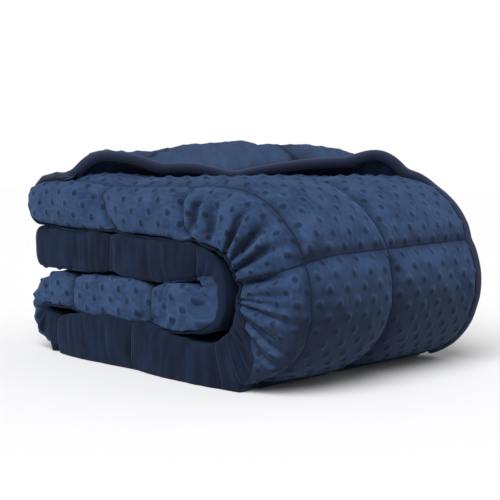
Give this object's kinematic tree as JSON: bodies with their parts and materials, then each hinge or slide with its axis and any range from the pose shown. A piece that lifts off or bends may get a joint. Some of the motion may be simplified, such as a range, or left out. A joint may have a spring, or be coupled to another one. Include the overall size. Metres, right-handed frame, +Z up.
{
  "type": "folded weighted blanket",
  "caption": "Quilted weighted blanket in dotted plush, folded into a thick stack with its bound corner turned back over the top.",
  "frame": {"origin": "middle of the underside, on the surface that the folded blanket rests on", "axes": "+Z up; +Y along the stack towards its open end, away from the front bend; -X towards the fold edge, +X towards the bound edge"},
  "size_m": [0.3183, 0.4738, 0.2523],
  "materials": {
    "dotted_plush": "short plush pile with raised round dots",
    "plain_plush": "plain short plush pile, the blanket's other face",
    "binding_cloth": "smooth matt binding"
  },
  "bodies": {
    "root": {"quilted_blanket": "dotted_plush", "edge_binding": "binding_cloth"}
  },
  "joints": []
}
